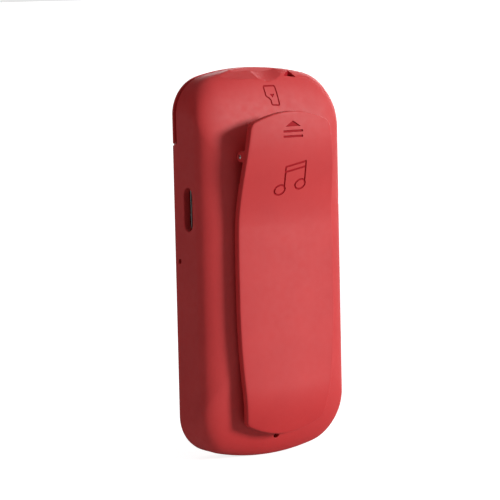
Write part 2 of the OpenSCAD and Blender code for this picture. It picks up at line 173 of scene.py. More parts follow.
def combine(obj, others, how):
    """Boolean of an object with each of the others, which are used up."""
    for other in others:
        mod = obj.modifiers.new("combine", "BOOLEAN")
        mod.operation, mod.solver, mod.object = how, "EXACT", other
        mod.material_mode = "TRANSFER"
        weld(bake(obj))
        bpy.data.objects.remove(other)
    return obj


def weld(obj):
    """Closes the hairline cracks that a boolean leaves between faces."""
    bm = bmesh.new()
    bm.from_mesh(obj.data)
    bmesh.ops.remove_doubles(bm, verts=bm.verts, dist=2e-6)
    bmesh.ops.dissolve_degenerate(bm, edges=bm.edges, dist=1e-6)
    bm.to_mesh(obj.data)
    bm.free()


def cut(obj, *tools):
    return combine(obj, tools, "DIFFERENCE")


def shade_marked(*tools):
    """Cutters whose marks get painted shade: a darker coral with a faint red glow painted in as bounced
    light.
    """
    for tool in tools:
        tool.data.materials[0] = SHADE_MARK
    return tools


def join(name, objs):
    """One object that holds the meshes of several, as separate shells."""
    bm = bmesh.new()
    for o in objs:
        bm.from_mesh(o.data)
        bpy.data.objects.remove(o)
    mesh = bpy.data.meshes.new(name)
    bm.to_mesh(mesh)
    bm.free()
    obj = bpy.data.objects.new(name, mesh)
    bpy.context.scene.collection.objects.link(obj)
    return obj


def smooth(obj, angle=32):
    """Smooth shading with hard edges above an angle, and flat faces kept flat."""
    bm = bmesh.new()
    bm.from_mesh(obj.data)
    bmesh.ops.dissolve_degenerate(bm, edges=bm.edges, dist=1e-7)
    for f in bm.faces:
        f.smooth = True
    for e in bm.edges:
        e.smooth = len(e.link_faces) == 2 and e.calc_face_angle(0) < math.radians(angle)
    bm.to_mesh(obj.data)
    bm.free()
    mod = obj.modifiers.new("normals", "WEIGHTED_NORMAL")
    mod.keep_sharp = True
    mod.weight = 80
    return bake(obj)


def normals_2d(path, closed=True):
    """Outward mitred normals of an anticlockwise path of (u, v) points; sharp corners are held back."""
    out, n = [], len(path)
    for i, p in enumerate(path):
        a = path[i - 1] if closed or i else p
        b = path[(i + 1) % n] if closed or i < n - 1 else p
        d0 = Vector((p[0] - a[0], p[1] - a[1]))
        d1 = Vector((b[0] - p[0], b[1] - p[1]))
        d0 = d0.normalized() if d0.length > 1e-9 else d1.normalized()
        d1 = d1.normalized() if d1.length > 1e-9 else d0
        n0, n1 = Vector((d0.y, -d0.x)), Vector((d1.y, -d1.x))
        mid = (n0 + n1).normalized()
        out.append(mid / max(0.4, mid.dot(n0)))
    return out


def offset(path, d):
    return [(p[0] + n.x * d, p[1] + n.y * d) for p, n in zip(path, normals_2d(path))]


def pad(name, path, put, depth, edge, steps=5, back_edge=0.0):
    """Plate with a rounded rim. put(u, v, d) is the point d behind its face."""
    rows = [(-edge * (1 - math.sin(t)), edge * (1 - math.cos(t)))
            for t in (math.pi / 2 * i / steps for i in range(steps + 1))]
    rows += [(0, depth - back_edge), (-back_edge, depth)] if back_edge else [(0, depth)]
    return loft(name, [[put(u, v, d) for u, v in offset(path, o)] for o, d in rows])


def facing(y0):
    """Placer for plates that face the front, from depth y0."""
    return lambda u, v, d: (u, y0 + d, v)


def across(x0):
    """Placer for plates that face -X, from x0; their paths are (depth, height)."""
    return lambda u, v, d: (x0 + d, u, v)


def well(name, path, put, lip, depth, steps=5):
    """Cutter for an opening with a rounded lip. put(u, v, d) is the point d below the surface."""
    rows = [(lip + 0.3, -0.25)]
    rows += [(lip * (1 - math.sin(t)), lip * (1 - math.cos(t)))
             for t in (math.radians(25 + 65 * i / steps) for i in range(steps + 1))]
    rows.append((0, depth))
    return loft(name, [[put(u, v, d) for u, v in offset(path, o)] for o, d in rows])


def groove(name, path, closed, width, depth, put):
    """Cutter for an engraved line of even depth along a path."""
    h = width / 2
    section = [(-h - 0.03, -0.15), (-h * 0.85, depth), (h * 0.85, depth), (h + 0.03, -0.15)]
    normals = normals_2d(path, closed)
    return loft(name, [[put(p[0] + n.x * o, p[1] + n.y * o, d) for o, d in section]
                       for p, n in zip(path, normals)], wrap=closed)


def sunk(name, path, depth, put):
    """Cutter for an engraved solid sign that follows a surface."""
    rows = [(0.03, -0.15), (-0.02, depth)]
    return loft(name, [[put(u, v, d) for u, v in offset(rich(path, 0.5), o)] for o, d in rows])


def rich(path, step, closed=True):
    """The path with extra points, so that it can follow a curved surface."""
    out = []
    n = len(path)
    for i in range(n if closed else n - 1):
        a, b = path[i], path[(i + 1) % n]
        k = max(1, round(math.dist(a, b) / step))
        out += [(a[0] + (b[0] - a[0]) * j / k, a[1] + (b[1] - a[1]) * j / k) for j in range(k)]
    return out if closed else out + [path[-1]]


def corner_curve(p, a, b, k, steps):
    """Curve that rounds the corner p; it starts k along side a and ends k along side b."""
    p0, p1 = p + a.normalized() * k, p + b.normalized() * k
    out = []
    for i in range(steps + 1):
        t = i / steps
        q = p0 * (1 - t) ** 2 + p * 2 * t * (1 - t) + p1 * t * t
        out.append((q.x, q.y))
    return out


def rounded(path, r, steps=4):
    """The closed path with its corners rounded, less where a side is short."""
    out, n = [], len(path)
    for i, p in enumerate(path):
        p = Vector(p)
        a, b = Vector(path[i - 1]) - p, Vector(path[(i + 1) % n]) - p
        out += corner_curve(p, a, b, min(r, a.length * 0.45, b.length * 0.45), steps)
    return out


def soften(path, corners, r, steps=4):
    """The closed path with only the listed corners rounded."""
    out, n = [], len(path)
    for i, p in enumerate(path):
        if i in corners:
            p = Vector(p)
            out += corner_curve(p, Vector(path[i - 1]) - p, Vector(path[(i + 1) % n]) - p, r, steps)
        elif min(math.dist(p, path[c]) for c in corners) > r * 1.05:
            out.append(p)
    return out


def turns(n):
    """Angles of n even steps round a circle."""
    return [2 * math.pi * i / n for i in range(n)]


def circle(cx, cz, r, n=32):
    return [(cx + r * math.cos(t), cz + r * math.sin(t)) for t in turns(n)]


def capsule(cx, cz, w, h, n=10):
    """Anticlockwise outline of a slot with round ends, longer in its second measure."""
    r, out = w / 2, []
    for s in (1, -1):
        for i in range(n + 1):
            t = math.pi * i / n
            out.append((cx + s * r * math.cos(t), cz + s * (h / 2 - r + r * math.sin(t))))
    return out


def box(x0, x1, y0, y1, z0, z1):
    return loft("box", [[(x0, y, z0), (x1, y, z0), (x1, y, z1), (x0, y, z1)] for y in (y0, y1)])


def upright(name, path, z0, z1):
    """Prism between two heights with an (x, depth) section."""
    return loft(name, [[(x, y, z) for x, y in path] for z in (z0, z1)])


def lathe(name, profile, centre, axis, n=48):
    """Solid of revolution from a profile of (distance along the axis, radius), with flat ends."""
    rings = []
    for d, r in profile:
        points = [{"x": (d, u, v), "y": (u, d, v)}[axis] for u, v in circle(0, 0, r, n)]
        rings.append([tuple(c + e for c, e in zip(centre, p)) for p in points])
    return loft(name, rings)


def tube(name, path, r, n=12):
    """Round wire along a path of points."""
    pts = [Vector(p) for p in path]
    rings, side = [], Vector((1, 0.1, 0))
    for i, p in enumerate(pts):
        d = (pts[min(i + 1, len(pts) - 1)] - pts[max(i - 1, 0)]).normalized()
        side = (side - d * side.dot(d)).normalized()
        up = d.cross(side)
        rings.append([tuple(p + side * (r * math.cos(t)) + up * (r * math.sin(t))) for t in turns(n)])
    return loft(name, rings)


# ---- case surface ----------------------------------------------------------------------------

def outline_facts(a, b, r):
    """Radius and centre height of the arched end, centre height of the corner arc, angle where they meet."""
    big = (a * a + END_CROWN ** 2) / (2 * END_CROWN)
    cz = b - big
    rz = cz + math.sqrt((big - r) ** 2 - (a - r) ** 2)
    return big, cz, rz, math.atan2(rz - cz, a - r)


def outline(a, b, r, nc=18, ne=22):
    """Anticlockwise case outline about its middle: corner arcs and arched ends."""
    big, cz, rz, turn = outline_facts(a, b, r)
    q = [(a - r + r * math.cos(turn * i / nc), rz + r * math.sin(turn * i / nc)) for i in range(nc + 1)]
    for i in range(1, ne + 1):
        t = turn + (math.pi / 2 - turn) * i / ne
        q.append((big * math.cos(t), cz + big * math.sin(t)))
    upper = q + [(-x, z) for x, z in q[-2::-1]]
    return upper + [(-x, -z) for x, z in upper]


def ring(a, b, r, y, **kw):
    """The outline at a depth, raised so that the case stands on its base."""
    return [(x, y, z + CASE_B) for x, z in outline(a, b, r, **kw)]


def upper_path(a, b, r, z_low):
    """The outline above z_low, from the right over the top to the left, with square lower corners."""
    pts = outline(a, b, r)
    pts = [(x, z + CASE_B) for x, z in pts[:len(pts) // 2]]
    return [(a, z_low)] + pts + [(-a, z_low)]


def back_section(t, inner=0.0):
    """Half sizes, corner radius and depth of the rounded back at angle t: 0 at the side, 90 on the back."""
    s = 1 - math.cos(t)
    low = (BACK_ROUND_D - inner) * (1 - math.sin(t))
    k = max(0.0, 1 - low / (SIDE_ROUND_D - inner))
    return (CASE_A - inner - (SIDE_DRAW - inner) * k ** SIDE_POWER,
            CASE_B - inner - (BACK_DRAW_Z - inner) * s,
            CORNER_R - inner - (BACK_DRAW_R - inner) * s, CASE_D - inner - low)


def front_section(t):
    """The same for the front's rim: 0 on the front face, 90 at the side."""
    k = 1 - math.sin(t)
    return (CASE_A - FRONT_DRAW_X * k, CASE_B - FRONT_DRAW_Z * k, CORNER_R - FRONT_DRAW_Z * k,
            FRONT_ROUND_D * (1 - math.cos(t)))


def inside(a, b, r, x, z):
    """Whether a point lies within the case outline about its middle."""
    big, cz, rz, turn = outline_facts(a, b, r)
    x, z = abs(x), abs(z)
    if z <= rz:
        return x <= a
    if x > a - r and math.atan2(z - rz, x - (a - r)) < turn:
        return math.hypot(x - (a - r), z - rz) <= r
    return math.hypot(x, z - cz) <= big


def solve(test, low, high):
    """Value between low and high where test stops being true."""
    for _ in range(40):
        mid = (low + high) / 2
        low, high = (mid, high) if test(mid) else (low, mid)
    return low


def back_rings():
    """Rings over the rounded back, from the side to the back face."""
    return [ring(*back_section(math.pi / 2 * i / 30)) for i in range(31)]


def back_y(x, z):
    """Depth of the case's back at a place in front view."""
    def within(t):
        return inside(*back_section(t)[:3], x, z - CASE_B)
    return back_section(solve(within, 0, math.pi / 2))[3]


def side_section(y):
    """Section of the case skin at a depth."""
    if y < FRONT_ROUND_D:
        return front_section(math.acos(1 - y / FRONT_ROUND_D))[:3]
    t = math.asin(min(1.0, (y - CASE_D + BACK_ROUND_D) / BACK_ROUND_D)) if y > CASE_D - BACK_ROUND_D else 0
    return back_section(t)[:3] if t > 0 else (CASE_A, CASE_B, CORNER_R)


def side_x(y, z):
    """Half width of the case at a place in side view."""
    a, b, r = side_section(y)
    return solve(lambda x: inside(a, b, r, x, z - CASE_B), 0, CASE_A + 1)


def top_z(x, y):
    """Height of the case's top at a place seen from above."""
    a, b, r = side_section(y)
    return CASE_B + solve(lambda z: inside(a, b, r, x, z), 0, CASE_B + 1)


# ---- clip surface ----------------------------------------------------------------------------

def clip_w(z):
    """Half width of the clip at a height."""
    lost, height, power = CLIP_TAPER_UP if z > CLIP_MID_Z else CLIP_TAPER_DOWN
    return CLIP_HALF_W - lost * (abs(z - CLIP_MID_Z) / height) ** power


def ease(z, a, b):
    """Smooth step from 0 at a to 1 at b."""
    u = min(1.0, max(0.0, (z - a) / (b - a)))
    return u * u * (3 - 2 * u)


def clip_edge_y(z):
    """Depth of the clip's long edges: flat arm, tab raised to a nose, tip bent to the case."""
    tip, nose = max(0.0, TIP_Z - z) / TIP_REACH, max(0.0, z - TAB_Z1) / NOSE_REACH
    return ARM_Y + TAB_RISE * ease(z, TAB_Z0, TAB_Z1) - TIP_DROP * tip ** 2 - NOSE_DROP * nose ** 2


def clip_face_y(x, z):
    """Depth of the clip's outside face, crowned across its width."""
    return clip_edge_y(z) + CLIP_CROWN * (1 - (x / clip_w(z)) ** 2)


# ---- pieces of the case ----------------------------------------------------------------------

def on_side(sign):
    """Placer on the case's side: paths are (depth, height)."""
    return lambda u, v, d: (sign * (side_x(u, v) - d), u, v)


def on_top(u, v, d):
    """Placer on the case's top: paths are (x, depth)."""
    return u, v, top_z(u, v) - d


def on_back(u, v, d):
    """Placer on the case's back: paths are (x, height)."""
    return u, back_y(u, v) - d, v


def lug_path(y_root, n=14):
    """Outline of a lug or an ear in (depth, height): root at a depth, round eye at the hinge."""
    side = 1 if HINGE_Y > y_root else -1
    arc = [(HINGE_Y + side * LUG_R * math.cos(t), HINGE_Z + side * LUG_R * math.sin(t))
           for t in (math.pi * (i / n - 0.5) for i in range(n + 1))]
    return arc + [(y_root, HINGE_Z + side * LUG_R), (y_root, HINGE_Z - side * LUG_R)]


def case_shell():
    """The back half with its wall, openings, lugs, saddle for the spring, slot, scoop and eyelet."""
    front = [ring(*front_section(math.pi / 2 * i / 6)) for i in range(7)]
    shell = loft("case_shell", front + back_rings())
    inner = [ring(CASE_A - WALL, CASE_B - WALL, CORNER_R - WALL, FRONT_ROUND_D, nc=8, ne=8)]
    inner += [ring(*back_section(math.pi / 2 * i / 9, WALL), nc=8, ne=8) for i in range(10)]
    opening = [(x, z + CASE_B) for x, z in
               outline(PLATE_A + SEAM_GAP, PLATE_B + SEAM_GAP, PLATE_R + SEAM_GAP)]
    for_bezel = box(-20, 20, -1, WRAP_D + 0.05, WRAP_Z - WRAP_GAP, 80)
    cut(shell, loft("inner", inner), well("opening", opening, facing(0), 0.12, 1.4), for_bezel,
        shadow_groove())
    combine(shell, [eyelet_block(), *case_lugs()], "UNION")
    cut(shell, card_slot(), *nail_scoop(), *eyelet_holes(),
        well("usb", capsule(USB_Y, USB_Z, USB_W, USB_L), on_side(1), 0.25, 3.5),
        well("jack", circle(JACK_Y, JACK_Z, JACK_WELL_R, 48), on_side(-1), 0.3, 3.0),
        well("reset", circle(RESET_Y, RESET_Z, RESET_R, 20), on_side(1), 0.12, 3.0),
        well("mic", circle(0, MIC_Z, MIC_R, 24), on_back, 0.12, 4.0),
        lathe("pin_way", [(-LUG_X1 - 1, PIN_R + 0.04), (LUG_X1 + 1, PIN_R + 0.04)], HINGE, "x", 32),
        lathe("saddle", [(-LUG_X0, SADDLE_R), (LUG_X0, SADDLE_R)], HINGE, "x", 48),
        *card_symbol())
    return smooth(shell)


def shadow_groove():
    """Band that runs over the top between the bezel and the case, open to the outside."""
    section = [(-GROOVE_IN, -1), (1.0, -1), (1.0, GROOVE_D + 0.45), (0.25, GROOVE_D + 0.45),
               (0.02, GROOVE_D + 0.17), (-0.08, GROOVE_D + 0.06), (-0.25, GROOVE_D), (-GROOVE_IN, GROOVE_D)]
    paths = [upper_path(CASE_A + n, CASE_B + n, CORNER_R + n, WRAP_Z) for n, _ in section]
    return loft("groove", [[(p[k][0], y, p[k][1]) for p, (_, y) in zip(paths, section)]
                           for k in range(len(paths[0]))])


def eyelet_block():
    """Thick corner that the eyelet is cut from, kept a little inside the skin."""
    left, right, y0, y1, below, inset = 2.2, 2.6, 2.4, 8.9, 0.45, 0.3
    block = box(EYE_X - left, EYE_X + right, y0, y1, EYE_Z - below, CASE_B * 2)
    skin = [[(x, y, z - inset) for x, y, z in r] for r in back_rings()]
    start = [(x, 0.5, z) for x, _, z in skin[0]]
    return combine(block, [loft("skin", [start] + skin)], "INTERSECT")


def case_lugs():
    path = lug_path(LUG_ROOT_Y)
    return [pad("lug", path, across(x0), LUG_X1 - LUG_X0, 0.15, 3, 0.15) for x0 in (LUG_X0, -LUG_X1)]


def card_slot():
    w, y0, y1, r = SLOT_W / 2, SLOT_Y0, SLOT_Y1, 0.35
    path = rich(rounded([(-w, y0), (w, y0), (w, y1), (-w, y1)], r), 0.8)
    return well("slot", path, on_top, 0.15, 5.0)


def slope_cutter(name, section):
    """Cutter with an (x, height) section, lying along the slope of the top edge behind the card slot."""
    tilt = math.radians(SCOOP_TILT)
    along, up = (math.cos(tilt), -math.sin(tilt)), (math.sin(tilt), math.cos(tilt))
    return loft(name, [[(x, SLOT_Y1 + along[0] * d + up[0] * h, SCOOP_Z + along[1] * d + up[1] * h)
                        for x, h in section] for d in SCOOP_ENDS])


def nail_scoop():
    """A scoop for a nail, in a shallow flat that reaches further to +X."""
    return (slope_cutter("scoop", circle(SCOOP_X, SCOOP_R, SCOOP_R, 160)),
            slope_cutter("flat", [(-12, 0.778), (14, -0.184), (14, 6), (-12, 6)]))


def eyelet_holes():
    """Pocket, tunnel under the bar, and the hole in front that meets it."""
    pocket = rounded([(EYE_X - 0.15, 6.75), (EYE_X + 1.7, 8.2), (EYE_X - 1.1, 8.2)], 0.12, 3)
    hole_x, hole_z = EYE_X - EYE_R, EYE_Z + EYE_R + 0.1
    # The pocket's walls get painted shade from the marked cutter.
    return [*shade_marked(upright("pocket", pocket, EYE_Z, EYE_Z + 4)),
            lathe("tunnel", [(3.4, EYE_R), (7.8, EYE_R)], (hole_x, 0, hole_z), "y", 24),
            upright("drop", circle(hole_x, 3.7, 0.6, 24), hole_z, hole_z + 3)]


def card_symbol():
    """Engraved outline of a memory card with a small pointer, on the slope under the card slot."""
    card = [(0.12, 68.85), (0.15, 69.9), (1.1, 70.6), (1.1, 72.5), (-1.5, 72.45), (-1.62, 68.75)]
    pointer = [(-0.4, 70.2), (0.15, 70.95), (-0.9, 70.95)]
    # The engraved card and pointer get painted shade from the marked cutters.
    return shade_marked(groove("card", rich(rounded(card, 0.34, 4), 0.35), True, 0.3, 0.18, on_back),
                 sunk("pointer", rounded(pointer, 0.15, 3), 0.14, on_back))


def step_corner(a, z, side, r=0.3):
    """Small rounded corner of a plate at the seam; side is +1 for the plate above it."""
    return [(a, z + side * r), (a - 0.3 * r, z + side * 0.3 * r), (a - r, z)]


def front_plate():
    """Lower front plate round the key pad, with lugs that reach into the case."""
    pts = outline(PLATE_A, PLATE_B, PLATE_R)
    lower = [(x, z + CASE_B) for x, z in pts[len(pts) // 2:]]
    corner = step_corner(PLATE_A, SEAM_Z, -1)
    path = lower + corner + [(-x, z) for x, z in reversed(corner)]
    plate = pad("front_plate", path, facing(0), PLATE_T, 0.2)
    cut(plate, well("pad_hole", circle(0, PAD_Z, PAD_R + 0.2, 96), facing(0), 0.25, 3))
    lug_x = PLATE_A - 0.6
    lugs = [box(s * lug_x - 0.4, s * lug_x + 0.4, PLATE_T - 0.01, PLATE_T + 1.2, z - 2, z + 2)
            for s in (1, -1) for z in (12, 46)]
    return smooth(join("front_plate", [plate] + lugs))


def bezel():
    """Upper front plate that wraps over the edge of the case as far as WRAP_D."""
    edge, bevel, seam = 0.2, 0.12, SEAM_Z + SEAM_GAP
    rows = []
    for i in range(7):
        t = math.pi / 2 * i / 6
        a, b, r, y = front_section(t)
        rows.append((a, b, r, y, edge * (1 - math.sin(t)), edge * (1 - math.cos(t))))
    rows.append((CASE_A, CASE_B, CORNER_R, WRAP_D - bevel, 0, WRAP_D - bevel))
    rows.append((CASE_A - bevel, CASE_B - bevel, CORNER_R - bevel, WRAP_D, 0, WRAP_D))
    rings = []
    for a, b, r, y, e, y_plate in rows:
        wrap = [(x, y, z) for x, z in upper_path(a, b, r, WRAP_Z + e)]
        right = list(reversed(step_corner(PLATE_A - e, seam + e, 1))) + [(PLATE_A - e, WRAP_Z + e)]
        left = [(-x, z) for x, z in reversed(right)]
        rings.append(wrap + [(x, y_plate, z) for x, z in left + right])
    piece = loft("bezel", rings)
    pocket = rounded_rect(LENS_W + 0.1, LENS_H + 0.1, 1.5)
    window = rounded_rect(LENS_W - 1.8, LENS_H - 1.8, 0.8)
    cut(piece, well("pocket", pocket, facing(0), 0.15, 0.9),
        loft("window", [[(x, y, z) for x, z in window] for y in (-1, 3)]))
    return smooth(piece)


def rounded_rect(w, h, r, n=8):
    """Outline of a rectangle with round corners, in the middle of the screen."""
    out = []
    for k, (sx, sz) in enumerate(((1, 1), (-1, 1), (-1, -1), (1, -1))):
        for i in range(n + 1):
            t = math.pi / 2 * (k + i / n)
            out.append((sx * (w / 2 - r) + r * math.cos(t), LENS_Z + sz * (h / 2 - r) + r * math.sin(t)))
    return out


def lens():
    return smooth(pad("lens", rounded_rect(LENS_W, LENS_H, LENS_R), facing(0.05), 0.85, 0.18))


# ---- keys ------------------------------------------------------------------------------------

def turned(path, degrees):
    """Path about the middle of the key pad, turned in front view, placed at the pad."""
    c, s = math.cos(math.radians(degrees)), math.sin(math.radians(degrees))
    return [(x * c - z * s, PAD_Z + x * s + z * c) for x, z in path]


def quadrant(r0, r1, gap, n=20):
    """Anticlockwise quarter ring around +Z with sides parallel to the diagonals, corners rounded."""
    def arc(r, first, last):
        spread = math.pi / 4 - math.asin(gap / 2 / r)
        return [(r * math.sin(t), r * math.cos(t))
                for t in (first * spread + (last - first) * spread * i / n for i in range(n + 1))]
    return soften(arc(r1, 1, -1) + arc(r0, -1, 1), (0, n, n + 1, 2 * n + 1), 0.45)


def ring_key(name, degrees):
    """One quarter of the key ring: cap, lip behind the front plate, and post."""
    r0 = PLAY_R + KEY_GAP
    cap = pad(name, turned(quadrant(r0, PAD_R, KEY_GAP), degrees), facing(-KEY_PROUD), 1.6, 0.25)
    lip = pad("lip", turned(quadrant(r0, PAD_R + 0.8, KEY_GAP), degrees), facing(1.25), 0.4, 0.05)
    x, z = turned([(0, KEY_MID)], degrees)[0]
    post = lathe("post", [(1.6, 0.8), (2.75, 0.8), (2.85, 0.7)], (x, 0, z), "y", 24)
    return smooth(join(name, [cap, lip, post]))


def play_key():
    """Round key with a dished face, a skirt behind the ring keys, and a post."""
    top = -KEY_PROUD
    profile = [(top + 0.16, 0.02), (top + 0.145, 1.2), (top + 0.1, 2.2), (top + 0.03, 3.2), (top, 3.75),
               (top + 0.04, 4.0), (top + 0.12, 4.18), (top + 0.28, PLAY_R), (2.05, PLAY_R),
               (2.05, PLAY_R + 0.9), (2.45, PLAY_R + 0.9), (2.45, 0.8), (2.85, 0.7)]
    return smooth(lathe("play_key", profile, (0, 0, PAD_Z), "y", 72))


def bar_path(cx, cz, w, h):
    """Rectangle about a middle point."""
    return [(cx + i * w / 2, cz + j * h / 2) for i, j in ((-1, -1), (1, -1), (1, 1), (-1, 1))]


def arrow_path(cx, cz, s, side=1):
    """Triangle that points along side, +1 for +X."""
    reach = side * s * 0.45
    pts = [(cx - reach, cz - s * 0.5), (cx + reach, cz), (cx - reach, cz + s * 0.5)]
    return pts if side > 0 else pts[::-1]


def symbol(name, paths, y, proud=0.02):
    """Printed sign on a key: thin closed pads."""
    pads = [pad(name, rounded(p, 0.06, 2), facing(y - proud), 0.12, 0.02, 2) for p in paths]
    return smooth(join(name, pads))


def key_symbols():
    """Volume, skip and play signs, each with the body it rides on."""
    plus, minus = [[bar_path(0, PAD_Z + s * KEY_MID, 2.2, 0.42)] for s in (1, -1)]
    plus += [bar_path(0, PAD_Z + KEY_MID + s * 0.66, 0.42, 0.86) for s in (1, -1)]
    skip, skip_back = [[arrow_path(s * (KEY_MID - 0.85), PAD_Z, 1.5, s),
                        arrow_path(s * (KEY_MID + 0.4), PAD_Z, 1.5, s),
                        bar_path(s * (KEY_MID + 1.3), PAD_Z, 0.34, 1.5)] for s in (1, -1)]
    play = [arrow_path(-0.75, PAD_Z, 2.0), bar_path(0.75, PAD_Z, 0.42, 1.9), bar_path(1.5, PAD_Z, 0.42, 1.9)]
    pale = [("plus_sign", plus, "volume_up_key"), ("minus_sign", minus, "volume_down_key"),
            ("next_sign", skip, "next_key"), ("previous_sign", skip_back, "previous_key")]
    signs = [(symbol(name, paths, -KEY_PROUD), body, "light_key_plastic") for name, paths, body in pale]
    return signs + [(symbol("play_sign", play, 0.13 - KEY_PROUD), "play_key", "black_plastic")]


# ---- ports -----------------------------------------------------------------------------------

USB_FORM = [(1.3, -2.8), (1.3, 2.8), (0.3, 3.8), (-1.3, 3.8), (-1.3, -3.8), (0.3, -3.8)]


def usb_shell():
    """Drawn metal shell of the socket, narrower on one long side, with a rolled mouth."""
    path = rounded([(USB_Y + u, USB_Z + v) for u, v in USB_FORM], 0.35)
    rows = [(0, 5.4), (0, 0.1), (-0.04, 0.02), (-0.12, 0), (-0.2, 0.04), (-0.25, 0.14), (-0.25, 4.8)]
    return smooth(loft("usb_shell", [[(USB_MOUTH - d, u, v) for u, v in offset(path, o)] for o, d in rows]))


def usb_tongue():
    path = rounded(bar_path(USB_Y - 0.3, USB_Z, 0.6, 4.4), 0.12)
    return smooth(pad("usb_tongue", path, lambda u, v, d: (USB_MOUTH - 0.6 - d, u, v), 4.3, 0.12))


def usb_contacts():
    parts, pitch = [], 0.65
    for i in range(5):
        path = rounded(bar_path(USB_Y + 0.025, USB_Z + pitch * (i - 2), 0.09, 0.4), 0.03, 2)
        parts.append(pad("contact", path, lambda u, v, d: (USB_MOUTH - 0.9 - d, u, v), 3.6, 0.03, 2))
    return smooth(join("usb_contacts", parts))


def jack_sleeve():
    """Bright contact ring just inside the mouth of the headphone jack."""
    section = [(0.9, 0), (0.86, -0.02), (0.9, -0.06), (2.2, -0.06), (2.2, 0.1), (0.95, 0.1)]
    rings = [[(JACK_MOUTH + d, u, v) for u, v in circle(JACK_Y, JACK_Z, JACK_R + e, 48)] for d, e in section]
    return smooth(loft("jack_sleeve", rings, wrap=True))


def jack_housing():
    """Moulded body of the jack, with a round collar towards the mouth and a bore."""
    y0, y1, half = 4.4, JACK_Y + 2.8, 2.9
    path = rounded([(y0, JACK_Z - half), (y1, JACK_Z - half), (y1, JACK_Z + half), (y0, JACK_Z + half)], 0.3)
    block = pad("jack_block", path, across(JACK_MOUTH + 1.6), 13.6, 0.15, 3, 0.15)
    centre = (0, JACK_Y, JACK_Z)
    collar = lathe("collar", [(JACK_MOUTH, JACK_COLLAR_R), (-CASE_A + 3.2, JACK_COLLAR_R)], centre, "x", 64)
    bore = lathe("bore", [(-CASE_A, JACK_R), (-1.6, JACK_R)], centre, "x", 48)
    return smooth(cut(combine(block, [collar], "UNION"), bore))


# ---- clip ------------------------------------------------------------------------------------

def edge_samples(length, radius, steps, middle):
    """Distances from 0 to length, close together where the two rims are rounded."""
    rim = [radius * (1 - math.cos(math.pi / 2 * i / steps)) for i in range(steps + 1)]
    mid = [radius + (length - 2 * radius) * i / middle for i in range(1, middle)]
    return rim + mid + [length - d for d in reversed(rim)]


def rim_drop(e_side, e_end, r):
    """How far a face falls near its rim, rounded with radius r."""
    ex, ez = max(0.0, r - e_side), max(0.0, r - e_end)
    return r - math.sqrt(max(0.0, r * r - min(r * r, ex * ex + ez * ez)))


def clip_plate():
    """Crowned plate with arched ends, round corners and rounded rims, from a grid over each face."""
    length = CLIP_Z1 - CLIP_Z0
    across_steps = [d / CLIP_HALF_W - 1 for d in edge_samples(2 * CLIP_HALF_W, CLIP_RIM, 5, 44)]
    along_steps = edge_samples(length, CLIP_RIM, 5, 130)
    s0 = 1 - CLIP_CORNER / CLIP_HALF_W
    points = []
    for outside in (True, False):
        crown, rim = (CLIP_CROWN, CLIP_RIM) if outside else (CLIP_INNER_CROWN, CLIP_INNER_RIM)
        for d in along_steps:
            for s in across_steps:
                k = max(0.0, (abs(s) - s0) / (1 - s0))
                turn = CLIP_CORNER * (1 - math.sqrt(max(0.0, 1 - k * k)))
                za, zb = CLIP_Z0 + CLIP_ARCH_0 * s * s + turn, CLIP_Z1 - CLIP_ARCH_1 * s * s - turn
                z = za + (zb - za) * (d / length)
                w = clip_w(z)
                drop = rim_drop((1 - abs(s)) * w, min(z - za, zb - z), rim)
                y = clip_edge_y(z) + crown * (1 - s * s)
                points.append((s * w, y - drop if outside else y - CLIP_T + drop, z))
    nx, nz = len(across_steps), len(along_steps)
    n = nx * nz

    def at(i, j):
        return j * nx + i

    faces = [(at(i, j), at(i + 1, j), at(i + 1, j + 1), at(i, j + 1))
             for j in range(nz - 1) for i in range(nx - 1)]
    faces += [tuple(n + k for k in f) for f in faces]
    rim_loop = [at(i, 0) for i in range(nx - 1)] + [at(nx - 1, j) for j in range(nz - 1)]
    rim_loop += [at(i, nz - 1) for i in range(nx - 1, 0, -1)] + [at(0, j) for j in range(nz - 1, 0, -1)]
    for k, a in enumerate(rim_loop):
        b = rim_loop[(k + 1) % len(rim_loop)]
        faces.append((a, b, n + b, n + a))
    return make("clip_plate", points, faces)


def on_clip(u, v, d):
    """Placer on the clip's outside face: paths are (x, height)."""
    return u, clip_face_y(u, v) - d, v


def clip_signs():
    """Release sign and a musical note, engraved."""
    arrow = [(-1.78, 65.0), (1.78, 65.0), (0.0, 66.1)]
    bars = [bar_path(0, z, 4.5, 0.42) for z in (64.1, 63.1)]
    head = [(2.4 - 1.15 * math.cos(t) + 0.25 * math.sin(t), 52.9 + 0.85 * math.sin(t) + 0.35 * math.cos(t))
            for t in turns(28)]
    head_2 = [(x - 4.6, z + 0.9) for x, z in head]
    strokes = [((1.4, 53.1), (1.4, 57.3)), ((1.5, 57.28), (-3.3, 58.22)), ((-3.2, 58.2), (-3.2, 54.0)),
               ((1.4, 56.3), (-3.2, 57.2))]
    # The engraved signs get painted shade from the marked cutters.
    return shade_marked(sunk("arrow", rounded(arrow, 0.25, 4), 0.25, on_clip),
                 *[sunk("bar", rounded(p, 0.1, 2), 0.25, on_clip) for p in bars],
                 *[groove("head", h, True, 0.36, 0.2, on_clip) for h in (head, head_2)],
                 *[groove("stroke", rich(s, 0.5, False), False, 0.36, 0.2, on_clip) for s in strokes])


def clip():
    """The plate with its signs, the ears on the pin and the grip ridges that face the case."""
    plate = cut(clip_plate(), *clip_signs())
    ear = lug_path(EAR_ROOT_Y)
    ears = [pad("ear", ear, across(x0), EAR_X1 - EAR_X0, 0.12, 3, 0.12) for x0 in (EAR_X0, -EAR_X1)]
    ridges = [pad("ridge", rounded(bar_path(0, z, 12, 0.8), 0.3), facing(12.75), 1.0, 0.3)
              for z in (9, 11, 13)]
    return smooth(join("clip", [plate] + ears + ridges))


